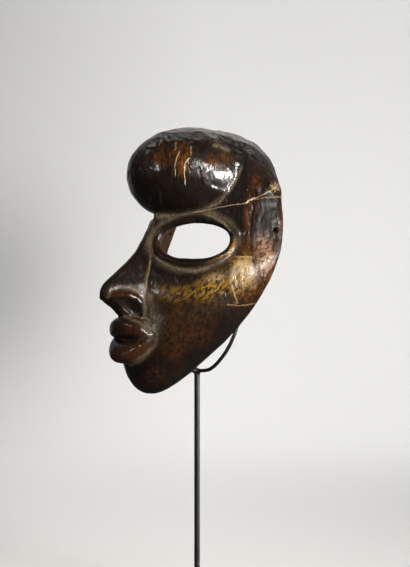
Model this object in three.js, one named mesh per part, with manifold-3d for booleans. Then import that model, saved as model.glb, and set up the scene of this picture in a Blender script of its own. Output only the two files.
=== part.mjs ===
// Carved wooden mask with a ball shaped forehead on a slim steel display stand.
// Millimetres, +Z up. The mask looks along -Y and +X is its own left side.
// The origin is the middle of the base plate's underside, right below the rod.

import * as THREE from "three";
import Module from "manifold-3d";

// Stand sizes
const baseSide = 140;
const baseThickness = 10;
const baseChamfer = 1.2;
const rodDiameter = 5.2;
const rodTopHeight = 215.6;
const rodSeatDepth = 6;
const seatClearance = 0.3;
const armDiameter = 3.4;
const restReach = 11.6;

// Cradle arm, each half from the rod top outwards: sideways, backwards, upwards from the rod top
const armPath = [
  [0, 0, 0],
  [6, 0.1, 0],
  [12, 0.3, 0.4],
  [18, 0.7, 1.6],
  [23.5, 1.4, 4.4],
  [28, 2.4, 8.2],
  [32.5, 3.8, 13],
  [36.6, 5.6, 18.6],
  [40, 7.7, 25.4],
  [42.4, 10.2, 33.4],
  [43.2, 11.9, 38.6],
  [43.7, 13.1, 43.2],
  [43.9, 12.8, 46.8],
  [43.9, 10.6, 49.6],
  [43.9, 6.6, 50.6],
  [43.9, 1.6, 50.6],
  [43.9, -3.2, 50.6],
];

// Placing of the face: its zero level above the base and the leaning plane its depths start from
const faceZero = 297;
const planeBack = 30.3;
const planeLevel = 40;
const planeLean = 0.317;
const rimLean = 0.29;

// Shell
const wallThickness = 8.5;
const backAllowance = 11;
const fineStep = 5.6;
const coarseStep = 7.6;
const hollowStep = 9;
const smoothingPasses = 5;
const largestStep = 0.8;
const shellTop = 142.5;
// The top of the shell is softened around its middle, from this level up and within this reach
const crownStart = 136;
const crownSoftening = 4.5;
const crownReach = 6.5;
const shellBottom = -101;

// Horizontal sections of the face: level, depth of the middle, half width, half depth, squareness
const sections = [
  [-95.5, 38.5, 15.5, 15.5, 2],
  [-88, 37.5, 24, 24.4, 2],
  [-74.5, 35, 35, 35.5, 2],
  [-66, 33, 42.5, 40, 2],
  [-51, 30, 55, 49.5, 2],
  [-29.5, 23, 71.6, 60, 1.8],
  [-6, 14, 83.8, 77, 1.55],
  [17.6, 6, 90, 87, 1.38],
  [38.5, 0, 89.2, 91, 1.2],
  [60.7, 4, 83.6, 76, 1.35],
  [72, 9, 79.8, 63, 1.45],
  [84, 14, 77.6, 52, 1.6],
  [95, 18, 71.1, 45, 1.8],
  [106, 22, 63.1, 41, 2],
  [116, 26, 55.1, 40, 2],
  [124, 30, 46, 38, 2],
  [131, 33, 37, 33, 2],
  [137, 36, 25, 22, 2],
];

// Forehead ball: middle and half sizes, width, depth and height
const ballBack = -7.5;
const ballLevel = 100.8;
const ballHalf = [53.5, 62.3, 44.6];
const ballSquareness = 2.04;
const ballBlendLow = 5;
const ballBlendHigh = 19;
const ballBlendMiddle = 8;

// Nose ridge: level and depth in front of the leaning plane
const ridge = [
  [-30, 97],
  [-22, 108],
  [-15.5, 121.3],
  [-10.5, 124.2],
  [-6, 125],
  [0, 123.6],
  [7, 117.1],
  [18, 106],
  [29, 97.5],
  [39, 92.5],
  [51, 88],
  [61, 86],
  [72, 86],
];

// Nose sides: level, fall of the side, rounding of the ridge, half width
const noseSides = [
  [-25, 2.2, 8, 22],
  [-10, 3, 8, 22],
  [5, 2.9, 6, 18],
  [18, 2.1, 4.5, 15],
  [39, 1.6, 3.5, 13],
  [61, 1.2, 4, 13],
  [72, 1, 4, 13],
];
const noseTop = 66;
const noseUnderLevel = -31;
const noseUnderSlope = 0.68;
const nostrilMiddle = [12.5, 97, -21.5];
const nostrilHalf = [6, 11.5, 5.5];
const nostrilTilt = 0.5;

// Raised edge of the nostril from the tip backwards: sideways, depth, level, radius
const wingPath = [
  [1.5, 119.5, -12, 2.6],
  [6.5, 114, -10.3, 3.2],
  [10.5, 108.5, -9.8, 3.6],
  [14.5, 103, -10.5, 3.8],
  [17, 97, -13, 3.7],
  [17.6, 91, -17.5, 3.4],
  [16.8, 86, -23, 2.8],
  [14.8, 82.5, -28, 2.2],
];

// Parting line of the lips: level at the front, level at the corners, bend
const parting = [-50.5, -48, 2];

// Lips: side of the parting, half height, front depth, middle depth, half width, forward lean
const upperLip = [1, 11.9, 96.6, 75, 27.5, 0.36];
const lowerLip = [-1, 11.8, 90.6, 72, 27.5, -0.2];
const mouth = [0, 4, 79, 66, 19, 0];
const lipSquareness = 2.6;
const lipOverlap = 1.3;

// Eye openings: middle, half length, half height, and the raised ring with its groove
const eyeMiddle = [36.5, 60.5, 38.6];
const eyeHalf = [31.8, 16.3];
const eyeTurn = THREE.MathUtils.degToRad(43.6);
const eyeLean = 0.12;
const ringHeight = 1.5;
const ringWidth = 4;
const grooveDepth = 1.1;
const grooveWidth = 5.5;
const grooveDistance = 10;

// Holes for a cord near the edge, level with the eyes
const cordHoleDiameter = 3;
const cordHoleLevel = 48.6;
const cordHoleDepth = 7.5;

function curve(rows, column) {
  const count = rows.length;
  const slopes = [];
  const fall = (i) => (rows[i + 1][column] - rows[i][column]) / (rows[i + 1][0] - rows[i][0]);
  for (let i = 0; i < count; i += 1) {
    if (i === 0) {
      slopes.push(fall(0));
    } else if (i === count - 1) {
      slopes.push(fall(count - 2));
    } else {
      const before = rows[i][0] - rows[i - 1][0];
      const after = rows[i + 1][0] - rows[i][0];
      slopes.push((fall(i - 1) * after + fall(i) * before) / (before + after));
    }
  }
  return (level) => {
    const x = Math.min(Math.max(level, rows[0][0]), rows[count - 1][0]);
    let i = 0;
    while (i < count - 2 && x > rows[i + 1][0]) {
      i += 1;
    }
    const span = rows[i + 1][0] - rows[i][0];
    const t = (x - rows[i][0]) / span;
    const t2 = t * t;
    const t3 = t2 * t;
    return (2 * t3 - 3 * t2 + 1) * rows[i][column]
      + (t3 - 2 * t2 + t) * span * slopes[i]
      + (3 * t2 - 2 * t3) * rows[i + 1][column]
      + (t3 - t2) * span * slopes[i + 1];
  };
}

const shellMiddle = (shellTop + shellBottom) / 2;
const shellHalf = (shellTop - shellBottom) / 2;

function endRounding(level, half) {
  const s = (level - shellMiddle) / half;
  return Math.sqrt(Math.max(1 - s * s, 0.001));
}

const plainSections = sections.map(([level, depth, width, length, square]) => {
  const e = endRounding(level, shellHalf);
  return [level, depth, width / e, length / e, square];
});
const sectionDepth = curve(plainSections, 1);
const sectionWidth = curve(plainSections, 2);
const sectionLength = curve(plainSections, 3);
const sectionSquareness = curve(plainSections, 4);
const ridgeDepth = curve(ridge, 1);
const sideFall = curve(noseSides, 1);
const ridgeRounding = curve(noseSides, 2);
const noseHalfWidth = curve(noseSides, 3);

function joined(a, b, k) {
  const h = Math.min(Math.max(0.5 + (0.5 * (b - a)) / k, 0), 1);
  return b * (1 - h) + a * h - k * h * (1 - h);
}

function common(a, b, k) {
  return -joined(-a, -b, k);
}

function roundBody(dx, dy, dz, half, square) {
  const n = ((Math.abs(dx) / half[0]) ** square
    + (Math.abs(dy) / half[1]) ** square
    + (Math.abs(dz) / half[2]) ** square) ** (1 / square);
  const r = Math.hypot(dx, dy, dz) + 1e-6;
  return r * (1 - 1 / Math.max(n, 1e-6));
}

// Distance to the plain egg of the face, inset by the wall thickness for the hollow
function faceEgg(x, depth, level, inset) {
  const half = shellHalf - inset;
  const stretched = shellMiddle + ((level - shellMiddle) * shellHalf) / half;
  const e = endRounding(stretched, shellHalf);
  const width = Math.max(sectionWidth(stretched) * e - inset, 2);
  const length = Math.max(sectionLength(stretched) * e - inset, 2);
  const square = sectionSquareness(stretched);
  const off = depth - sectionDepth(level);
  const n = ((Math.abs(x) / width) ** square + (Math.abs(off) / length) ** square) ** (1 / square);
  const r = Math.hypot(x, off) + 1e-6;
  const nearTop = Math.min(Math.max((level - crownStart) / (shellTop - crownStart), 0), 1);
  const softened = crownSoftening * nearTop * Math.exp(-((r / crownReach) ** 2));
  const side = r * (1 - 1 / Math.max(n, 1e-6)) + softened;
  const end = Math.abs(level - shellMiddle) - (half - 0.4 * inset);
  return Math.max(side, end);
}

function forehead(x, level, back, inset) {
  const half = ballHalf.map((size) => size - inset);
  return roundBody(x, back - ballBack, level - ballLevel, half, ballSquareness);
}

function nose(x, depth, level) {
  const ax = Math.abs(x);
  const fall = sideFall(level);
  const round = ridgeRounding(level);
  const front = ridgeDepth(level) - fall * (Math.sqrt(ax * ax + round * round) - round);
  let f = (depth - front) / Math.sqrt(1 + fall * fall * 0.6);
  const under = noseUnderLevel + noseUnderSlope * (depth - 96) - level;
  f = common(f, under / Math.sqrt(1 + noseUnderSlope ** 2), 4);
  f = common(f, level - noseTop, 4);
  f = common(f, ax - noseHalfWidth(level), 4);
  return common(f, 60 - depth, 4);
}

function nostrilPart(x, depth, level, middle, half, square) {
  const tilted = level - nostrilTilt * (depth - middle[1]);
  return roundBody(Math.abs(x) - middle[0], depth - middle[1], tilted - middle[2], half, square);
}

function wing(x, depth, level) {
  let best = 1000;
  for (let i = 0; i + 1 < wingPath.length; i += 1) {
    const [xa, da, la, ra] = wingPath[i];
    const [xb, db, lb, rb] = wingPath[i + 1];
    const along = [xb - xa, db - da, lb - la];
    const from = [Math.abs(x) - xa, depth - da, level - la];
    const size = along[0] ** 2 + along[1] ** 2 + along[2] ** 2;
    const dot = from[0] * along[0] + from[1] * along[1] + from[2] * along[2];
    const t = Math.min(Math.max(dot / size, 0), 1);
    const gap = Math.hypot(from[0] - t * along[0], from[1] - t * along[1], from[2] - t * along[2]);
    best = Math.min(best, gap - ra - (rb - ra) * t);
  }
  return best;
}

function lip(x, depth, level, sizes) {
  const [side, height, reach, middle, width, lean] = sizes;
  const across = Math.min(Math.abs(x) / width, 0.97);
  const line = parting[0] + (parting[1] - parting[0]) * across ** parting[2];
  const high = level - line - side * (height * Math.sqrt(1 - across * across) - lipOverlap);
  const off = depth - middle - lean * high;
  const section = ((Math.abs(off) / (reach - middle)) ** lipSquareness
    + (Math.abs(high) / height) ** lipSquareness) ** (1 / lipSquareness);
  const n = Math.hypot(x / width, section);
  const r = Math.hypot(x, off, high) + 1e-6;
  return r * (1 - 1 / Math.max(n, 1e-6));
}

// Distance from the eye opening's edge, and how far in front of the eye's middle a point lies
function eye(x, depth, level) {
  const ax = Math.abs(x) - eyeMiddle[0];
  const dd = depth - eyeMiddle[1];
  const up = level - eyeMiddle[2];
  const across = ax * Math.sin(eyeTurn) - dd * Math.cos(eyeTurn) + eyeLean * up;
  const out = ax * Math.cos(eyeTurn) + dd * Math.sin(eyeTurn);
  const n = ((Math.abs(across) / eyeHalf[0]) ** 2.15 + (Math.abs(up) / eyeHalf[1]) ** 2.15) ** (1 / 2.15);
  const r = Math.hypot(across, up) + 1e-6;
  return [r * (1 - 1 / Math.max(n, 1e-6)), out];
}

// Place of a point on the face: depth in front of the leaning plane and level over the zero level
function faceDepth(y, level) {
  return planeBack + planeLean * (level - planeLevel) - y;
}

function rimDepth(y, level) {
  return planeBack + rimLean * (level - planeLevel) - y;
}

// Fields, negative inside: the carved outside, and the hollow behind it
function outside(x, y, z) {
  const level = z - faceZero;
  const depth = faceDepth(y, level);
  const rise = Math.min(Math.max((level - 100) / 35, 0), 1);
  let blend = ballBlendLow + (ballBlendHigh - ballBlendLow) * rise * rise * (3 - 2 * rise);
  blend += ballBlendMiddle * Math.exp(-((x / 15) ** 2)) * (1 - rise);
  let f = faceEgg(x, depth, level, 0);
  f = joined(f, forehead(x, level, y, 0), blend);
  f = joined(f, nose(x, depth, level), 4);
  f = joined(f, wing(x, depth, level), 1.5);
  f = common(f, -nostrilPart(x, depth, level, nostrilMiddle, nostrilHalf, 2), 1.5);
  const lips = joined(lip(x, depth, level, upperLip), lip(x, depth, level, lowerLip), 0.4);
  f = joined(f, joined(lips, lip(x, depth, level, mouth), 1.5), 2.5);
  const [edge, out] = eye(x, depth, level);
  const fade = Math.min(Math.max((Math.abs(x) - 4) / 8, 0), 1) / (1 + Math.exp(-(out + 22) / 4));
  const ring = ringHeight * Math.exp(-((edge / ringWidth) ** 2));
  const groove = grooveDepth * Math.exp(-(((edge - grooveDistance) / grooveWidth) ** 2));
  f -= fade * (ring - groove);
  return common(f, -rimDepth(y, level) - backAllowance, 4);
}

function hollow(x, y, z) {
  const level = z - faceZero;
  const f = faceEgg(x, faceDepth(y, level), level, wallThickness);
  const whole = joined(f, forehead(x, level, y, wallThickness + 1), 6);
  return common(whole, -rimDepth(y, level) - 2 * backAllowance, 4);
}

// Grid lines from a row of limits with a step for each stretch
function gridLines(limits) {
  const lines = [limits[0][0]];
  for (let i = 0; i + 1 < limits.length; i += 1) {
    const count = Math.max(1, Math.round((limits[i + 1][0] - limits[i][0]) / limits[i][1]));
    for (let k = 1; k <= count; k += 1) {
      lines.push(limits[i][0] + ((limits[i + 1][0] - limits[i][0]) * k) / count);
    }
  }
  return lines;
}

// Closed faceted skin of the field: one point in each crossed cell, one quad for each crossed edge
function skin(field, xs, ys, zs) {
  const nx = xs.length;
  const ny = ys.length;
  const nz = zs.length;
  const at = (i, j, k) => (k * ny + j) * nx + i;
  const values = new Float64Array(nx * ny * nz);
  for (let k = 0; k < nz; k += 1) {
    for (let j = 0; j < ny; j += 1) {
      for (let i = 0; i < nx; i += 1) {
        values[at(i, j, k)] = field(xs[i], ys[j], zs[k]);
      }
    }
  }
  // No face of a cell may be crossed four times: the least distant outer corner is filled
  const strides = [1, nx, nx * ny];
  const counts = [nx, ny, nz];
  let changed = true;
  while (changed) {
    changed = false;
    for (let n = 0; n < values.length; n += 1) {
      const spot = [n % nx, Math.floor(n / nx) % ny, Math.floor(n / (nx * ny))];
      for (const [one, two] of [[0, 1], [1, 2], [0, 2]]) {
        if (spot[one] + 1 < counts[one] && spot[two] + 1 < counts[two]) {
          const ring = [n, n + strides[one], n + strides[one] + strides[two], n + strides[two]];
          const full = ring.map((m) => values[m] < 0);
          if (full[0] === full[2] && full[1] === full[3] && full[0] !== full[1]) {
            const empty = ring.filter((m) => values[m] >= 0);
            const chosen = values[empty[0]] <= values[empty[1]] ? empty[0] : empty[1];
            values[chosen] = -0.001;
            changed = true;
          }
        }
      }
    }
  }
  const owner = new Map();
  const points = [];
  const corner = (c) => [c & 1, (c >> 1) & 1, (c >> 2) & 1];
  const edges = [];
  for (let a = 0; a < 8; a += 1) {
    for (const axis of [0, 1, 2]) {
      if (!(a & (1 << axis))) {
        edges.push([a, a | (1 << axis), a * 3 + axis]);
      }
    }
  }
  const faces = [];
  for (const axis of [0, 1, 2]) {
    for (const side of [0, 1]) {
      faces.push(edges.filter(([a, b]) => ((a >> axis) & 1) === side && ((b >> axis) & 1) === side));
    }
  }
  const slope = (p) => {
    const h = 0.4;
    const g = [
      field(p[0] + h, p[1], p[2]) - field(p[0] - h, p[1], p[2]),
      field(p[0], p[1] + h, p[2]) - field(p[0], p[1] - h, p[2]),
      field(p[0], p[1], p[2] + h) - field(p[0], p[1], p[2] - h),
    ];
    return g.map((v) => v / (2 * h));
  };
  for (let k = 0; k + 1 < nz; k += 1) {
    for (let j = 0; j + 1 < ny; j += 1) {
      for (let i = 0; i + 1 < nx; i += 1) {
        const v = [];
        for (let c = 0; c < 8; c += 1) {
          const [di, dj, dk] = corner(c);
          v.push(values[at(i + di, j + dj, k + dk)]);
        }
        const inside = v.filter((value) => value < 0).length;
        if (inside === 0 || inside === 8) {
          continue;
        }
        const crossed = edges.filter(([a, b]) => v[a] < 0 !== v[b] < 0);
        const group = new Map(crossed.map((edge) => [edge[2], edge[2]]));
        const merge = (one, two) => {
          const from = group.get(one[2]);
          const to = group.get(two[2]);
          group.forEach((value, key) => {
            if (value === from) {
              group.set(key, to);
            }
          });
        };
        for (const face of faces) {
          const cut = face.filter((edge) => group.has(edge[2]));
          if (cut.length === 2) {
            merge(cut[0], cut[1]);
          }
          if (cut.length === 4) {
            for (let c = 0; c < 8; c += 1) {
              const touching = cut.filter(([a, b]) => a === c || b === c);
              if (touching.length === 2 && v[c] < 0) {
                merge(touching[0], touching[1]);
              }
            }
          }
        }
        for (const name of new Set(group.values())) {
          const members = crossed.filter((edge) => group.get(edge[2]) === name);
          const sum = [0, 0, 0];
          for (const [a, b] of members) {
            const t = v[a] / (v[a] - v[b]);
            const [ai, aj, ak] = corner(a);
            const [bi, bj, bk] = corner(b);
            sum[0] += xs[i + ai] + (xs[i + bi] - xs[i + ai]) * t;
            sum[1] += ys[j + aj] + (ys[j + bj] - ys[j + aj]) * t;
            sum[2] += zs[k + ak] + (zs[k + bk] - zs[k + ak]) * t;
          }
          const p = sum.map((value) => value / members.length);
          for (const edge of members) {
            owner.set(at(i, j, k) * 24 + edge[2], points.length);
          }
          points.push(p);
        }
      }
    }
  }
  const triangles = [];
  const neighbours = points.map(() => new Set());
  const apart = (a, b) => Math.hypot(
    points[a][0] - points[b][0],
    points[a][1] - points[b][1],
    points[a][2] - points[b][2],
  );
  const link = (a, b) => {
    neighbours[a].add(b);
    neighbours[b].add(a);
  };
  const quads = [];
  const quad = (a, b, c, d, flip) => {
    link(a, b);
    link(b, c);
    link(c, d);
    link(d, a);
    quads.push(flip ? [a, d, c, b] : [a, b, c, d]);
  };
  for (let k = 1; k + 1 < nz; k += 1) {
    for (let j = 1; j + 1 < ny; j += 1) {
      for (let i = 1; i + 1 < nx; i += 1) {
        const here = values[at(i, j, k)] < 0;
        const around = (axis, one, two) => [[-1, -1], [0, -1], [0, 0], [-1, 0]].map(([p, q]) => {
          const shift = [0, 0, 0];
          shift[one] = p;
          shift[two] = q;
          const low = (p ? 1 << one : 0) | (q ? 1 << two : 0);
          return owner.get(at(i + shift[0], j + shift[1], k + shift[2]) * 24 + low * 3 + axis);
        });
        if (here !== values[at(i + 1, j, k)] < 0) {
          quad(...around(0, 1, 2), !here);
        }
        if (here !== values[at(i, j + 1, k)] < 0) {
          quad(...around(1, 2, 0), !here);
        }
        if (here !== values[at(i, j, k + 1)] < 0) {
          quad(...around(2, 0, 1), !here);
        }
      }
    }
  }
  // Points are evened out along the surface and drawn back onto it
  for (let pass = 0; pass < smoothingPasses; pass += 1) {
    const moved = points.map((p, index) => {
      const around = [...neighbours[index]];
      const g = slope(p);
      const size = Math.hypot(...g) + 1e-9;
      const normal = g.map((value) => value / size);
      const pull = p.map((value, n) => {
        const middle = around.reduce((total, other) => total + points[other][n], 0) / around.length;
        return middle - value;
      });
      const lift = pull.reduce((total, value, n) => total + value * normal[n], 0);
      const gap = field(p[0], p[1], p[2]) / size;
      const step = Math.min(Math.max(gap, -largestStep), largestStep);
      return p.map((value, n) => value + 0.5 * (pull[n] - lift * normal[n]) - step * normal[n]);
    });
    moved.forEach((p, index) => {
      points[index] = p;
    });
  }
  for (const q of quads) {
    if (apart(q[0], q[2]) <= apart(q[1], q[3])) {
      triangles.push([q[0], q[1], q[2]], [q[0], q[2], q[3]]);
    } else {
      triangles.push([q[0], q[1], q[3]], [q[1], q[2], q[3]]);
    }
  }
  return { points, triangles };
}

const wasm = await Module();
wasm.setup();

function solid({ points, triangles }) {
  return new wasm.Manifold(new wasm.Mesh({
    numProp: 3,
    vertProperties: new Float32Array(points.flat()),
    triVerts: new Uint32Array(triangles.flat()),
  }));
}

// Round bar along a path of points with flat ends
function bar(path, diameter, sides) {
  const points = [];
  const triangles = [];
  const along = path.map((p, n) => {
    const before = path[Math.max(n - 1, 0)];
    const after = path[Math.min(n + 1, path.length - 1)];
    return new THREE.Vector3().subVectors(after, before).normalize();
  });
  let across = new THREE.Vector3(0, 0, 1);
  if (Math.abs(along[0].z) > 0.9) {
    across = new THREE.Vector3(0, 1, 0);
  }
  path.forEach((p, n) => {
    across.addScaledVector(along[n], -across.dot(along[n])).normalize();
    const other = new THREE.Vector3().crossVectors(along[n], across);
    for (let s = 0; s < sides; s += 1) {
      const angle = (2 * Math.PI * (s + 0.5)) / sides;
      const q = p.clone();
      q.addScaledVector(across, (Math.cos(angle) * diameter) / 2);
      q.addScaledVector(other, (Math.sin(angle) * diameter) / 2);
      points.push(q.toArray());
    }
  });
  for (let n = 0; n + 1 < path.length; n += 1) {
    for (let s = 0; s < sides; s += 1) {
      const a = n * sides + s;
      const b = n * sides + ((s + 1) % sides);
      triangles.push([a, b, b + sides], [a, b + sides, a + sides]);
    }
  }
  const last = (path.length - 1) * sides;
  for (let s = 1; s + 1 < sides; s += 1) {
    triangles.push([0, s + 1, s], [last, last + s, last + s + 1]);
  }
  return solid({ points, triangles });
}

// Closed box or prism between two equal outlines
function prism(front, back) {
  const sides = front.length;
  const triangles = [];
  for (let s = 0; s < sides; s += 1) {
    const t = (s + 1) % sides;
    triangles.push([s, t + sides, t], [s, s + sides, t + sides]);
  }
  for (let s = 1; s + 1 < sides; s += 1) {
    triangles.push([0, s, s + 1], [sides, sides + s + 1, sides + s]);
  }
  return solid({ points: [...front, ...back], triangles });
}

// Everything behind the rim plane
function behindRim() {
  const rimBack = planeBack - rimLean * planeLevel;
  const outline = [[-140, -180], [140, -180], [140, 200], [-140, 200]];
  const at = (x, level, behind) => [x, rimBack + rimLean * level + behind, faceZero + level];
  return prism(outline.map(([x, h]) => at(x, h, 0)), outline.map(([x, h]) => at(x, h, 150)));
}

// Straight cut through the wall for an eye, seen from its own direction
function eyeCut(side) {
  const sides = 36;
  const ring = (out) => {
    const points = [];
    for (let s = 0; s < sides; s += 1) {
      const angle = (2 * Math.PI * s) / sides;
      const power = (v) => Math.sign(v) * Math.abs(v) ** (2 / 2.15);
      const up = eyeHalf[1] * power(Math.sin(angle));
      const across = eyeHalf[0] * power(Math.cos(angle)) - eyeLean * up;
      const x = eyeMiddle[0] + across * Math.sin(eyeTurn) + out * Math.cos(eyeTurn);
      const depth = eyeMiddle[1] - across * Math.cos(eyeTurn) + out * Math.sin(eyeTurn);
      const level = eyeMiddle[2] + up;
      points.push([side * x, faceDepth(0, level) - depth, faceZero + level]);
    }
    return points;
  };
  const near = ring(40);
  const far = ring(-30);
  return side > 0 ? prism(near, far) : prism(far, near);
}

function makeMask() {
  const half = gridLines([[0, fineStep], [34, coarseStep], [104, 0]]);
  const across = [...half.slice(1).reverse().map((value) => -value), ...half];
  const back = gridLines([[-118, fineStep], [-44, coarseStep], [86, 0]]);
  const up = gridLines([[182, coarseStep], [222, fineStep], [364, coarseStep], [460, 0]]);
  const wide = gridLines([[-99, hollowStep], [99, 0]]);
  const deep = gridLines([[-90, hollowStep], [106, 0]]);
  const tall = gridLines([[186, hollowStep], [456, 0]]);
  let body = solid(skin(outside, across, back, up));
  body = body.subtract(solid(skin(hollow, wide, deep, tall)));
  body = body.subtract(behindRim());
  const level = cordHoleLevel + faceZero;
  const y = faceDepth(cordHoleDepth, cordHoleLevel);
  for (const side of [-1, 1]) {
    const path = [70, 100].map((x) => new THREE.Vector3(side * x, y, level));
    body = body.subtract(eyeCut(side));
    body = body.subtract(bar(path, cordHoleDiameter, 12));
  }
  return body;
}

function makeStand() {
  const foot = baseThickness - rodSeatDepth + seatClearance;
  let body = bar([new THREE.Vector3(0, 0, foot), new THREE.Vector3(0, 0, rodTopHeight)], rodDiameter, 24);
  const right = armPath.map(([x, y, z]) => new THREE.Vector3(x, y, rodTopHeight + z));
  const left = armPath.slice(1).reverse().map(([x, y, z]) => new THREE.Vector3(-x, y, rodTopHeight + z));
  body = body.add(bar([...left, ...right], armDiameter, 12));
  const rest = [
    new THREE.Vector3(0, 1, rodTopHeight),
    new THREE.Vector3(0, -restReach, rodTopHeight),
  ];
  return body.add(bar(rest, armDiameter, 12));
}

function makeBase() {
  const h = baseSide / 2;
  const c = baseChamfer;
  const rings = [[h, 0], [h, baseThickness - c], [h - c, baseThickness]];
  const points = rings.flatMap(([r, z]) => [[-r, -r, z], [r, -r, z], [r, r, z], [-r, r, z]]);
  const triangles = [[0, 2, 1], [0, 3, 2], [8, 9, 10], [8, 10, 11]];
  for (const start of [0, 4]) {
    for (let s = 0; s < 4; s += 1) {
      const a = start + s;
      const b = start + ((s + 1) % 4);
      triangles.push([a, b, b + 4], [a, b + 4, a + 4]);
    }
  }
  const seat = [
    new THREE.Vector3(0, 0, baseThickness - rodSeatDepth),
    new THREE.Vector3(0, 0, baseThickness + 5),
  ];
  return solid({ points, triangles }).subtract(bar(seat, rodDiameter + 2 * seatClearance, 24));
}

function toMesh(name, body, material) {
  const mesh = body.getMesh();
  const positions = new Float32Array(mesh.numVert * 3);
  for (let v = 0; v < mesh.numVert; v += 1) {
    for (let n = 0; n < 3; n += 1) {
      positions[v * 3 + n] = mesh.vertProperties[v * mesh.numProp + n];
    }
  }
  const geometry = new THREE.BufferGeometry();
  geometry.setAttribute("position", new THREE.BufferAttribute(positions, 3));
  geometry.setIndex(new THREE.BufferAttribute(new Uint32Array(mesh.triVerts), 1));
  geometry.computeVertexNormals();
  const result = new THREE.Mesh(geometry, material);
  result.name = name;
  return result;
}

const wood = new THREE.MeshStandardMaterial({ name: "mask_wood", color: 0x3a2417, roughness: 0.35 });
const rodSteel = new THREE.MeshStandardMaterial({ name: "stand_steel", color: 0x1c1c1c, roughness: 0.5 });
const baseSteel = new THREE.MeshStandardMaterial({ name: "base_steel", color: 0x1a1a1a, roughness: 0.5 });

const mask = new THREE.Group();
mask.name = "wooden_mask";
mask.add(toMesh("mask", makeMask(), wood));
mask.add(toMesh("display_rod", makeStand(), rodSteel));
mask.add(toMesh("base_plate", makeBase(), baseSteel));

export default mask;
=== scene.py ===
import math

import bpy
import numpy as np
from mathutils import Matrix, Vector


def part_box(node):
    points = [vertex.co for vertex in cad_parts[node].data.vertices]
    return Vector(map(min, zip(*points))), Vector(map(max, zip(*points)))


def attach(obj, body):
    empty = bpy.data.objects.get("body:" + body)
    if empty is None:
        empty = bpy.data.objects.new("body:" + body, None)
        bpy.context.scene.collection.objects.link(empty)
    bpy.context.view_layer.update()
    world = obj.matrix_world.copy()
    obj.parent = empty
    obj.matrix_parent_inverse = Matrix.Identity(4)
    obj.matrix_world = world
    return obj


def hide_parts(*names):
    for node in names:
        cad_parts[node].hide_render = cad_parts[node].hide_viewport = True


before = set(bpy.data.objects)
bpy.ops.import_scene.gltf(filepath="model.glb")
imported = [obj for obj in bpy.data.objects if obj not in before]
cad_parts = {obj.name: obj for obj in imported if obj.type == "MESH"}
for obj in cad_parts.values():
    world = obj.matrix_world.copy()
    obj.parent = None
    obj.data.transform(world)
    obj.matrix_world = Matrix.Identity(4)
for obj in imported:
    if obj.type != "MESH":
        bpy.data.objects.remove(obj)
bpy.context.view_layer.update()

# Lengths are in millimetres and become metres where a mesh is made.
# The mask looks along -Y, +X is its own left side, and the rod stands on the origin.


# Placing of the face: its zero level above the base and the leaning plane its depths start from
FACE_ZERO = 297.0
PLANE_BACK = 30.3
PLANE_LEVEL = 40.0
PLANE_LEAN = 0.317
RIM_LEAN = 0.29
WALL = 8.5
RIM_ROUND = 3.2
INNER_ROUND = 2.4
EYE_ROUND = 3.0
SHELL_TOP = 142.5
SHELL_BOTTOM = -101.0
CROWN_START = 136.0
CROWN_SOFTENING = 4.5
CROWN_REACH = 6.5
SHELL_MIDDLE = (SHELL_TOP + SHELL_BOTTOM) / 2
SHELL_HALF = (SHELL_TOP - SHELL_BOTTOM) / 2

# Horizontal sections of the face: level, depth of the middle, half width, half depth, squareness
SECTIONS = [
    (-95.5, 38.5, 15.5, 15.5, 2), (-88, 37.5, 24, 24.4, 2), (-74.5, 35, 35, 35.5, 2),
    (-66, 33, 42.5, 40, 2), (-51, 30, 55, 49.5, 2), (-29.5, 23, 71.6, 60, 1.8),
    (-6, 14, 83.8, 77, 1.55), (17.6, 6, 90, 87, 1.38), (38.5, 0, 89.2, 91, 1.2),
    (60.7, 4, 83.6, 76, 1.35), (72, 9, 79.8, 63, 1.45), (84, 14, 77.6, 52, 1.6),
    (95, 18, 71.1, 45, 1.8), (106, 22, 63.1, 41, 2), (116, 26, 55.1, 40, 2),
    (124, 30, 46, 38, 2), (131, 33, 37, 33, 2), (137, 36, 25, 22, 2),
]

# Forehead ball: middle and half sizes
BALL_BACK = -7.5
BALL_LEVEL = 100.8
BALL_HALF = (53.5, 62.3, 44.6)
BALL_SQUARE = 2.04
BLEND_LOW = 5.0
BLEND_HIGH = 19.0
BLEND_MIDDLE = 8.0

# Nose ridge (level, depth) and sides (level, fall of the side, rounding of the ridge, half width)
RIDGE = [
    (-30, 97), (-22, 108), (-15.5, 121.3), (-10.5, 124.2), (-6, 125), (0, 123.6), (7, 117.1),
    (18, 106), (29, 97.5), (39, 92.5), (51, 88), (61, 86), (72, 86),
]
NOSE_SIDES = [
    (-25, 2.2, 8, 22), (-10, 3, 8, 22), (5, 2.9, 6, 18), (18, 2.1, 4.5, 15),
    (39, 1.6, 3.5, 13), (61, 1.2, 4, 13), (72, 1, 4, 13),
]
NOSE_TOP = 66.0
NOSE_UNDER = (-31.0, 0.68)
NOSTRIL = ((12.5, 97, -21.5), (6, 11.5, 5.5))
NOSTRIL_TILT = 0.5

# Raised edge of the nostril, from the tip backwards: sideways, depth, level, radius
WING = [
    (1.5, 119.5, -12, 2.6), (6.5, 114, -10.3, 3.2), (10.5, 108.5, -9.8, 3.6), (14.5, 103, -10.5, 3.8),
    (17, 97, -13, 3.7), (17.6, 91, -17.5, 3.4), (16.8, 86, -23, 2.8), (14.8, 82.5, -28, 2.2),
]

# Parting line of the lips: level at the front, level at the corners, bend
PARTING = (-50.5, -48.0, 2.0)
# Lips: side of the parting, half height, front depth, middle depth, half width, forward lean
UPPER_LIP = (1, 11.9, 96.6, 75, 27.5, 0.36)
LOWER_LIP = (-1, 11.8, 90.6, 72, 27.5, -0.2)
MOUTH = (0, 4, 79, 66, 19, 0.0)
LIP_SQUARE = 2.6
LIP_OVERLAP = 1.3

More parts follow.
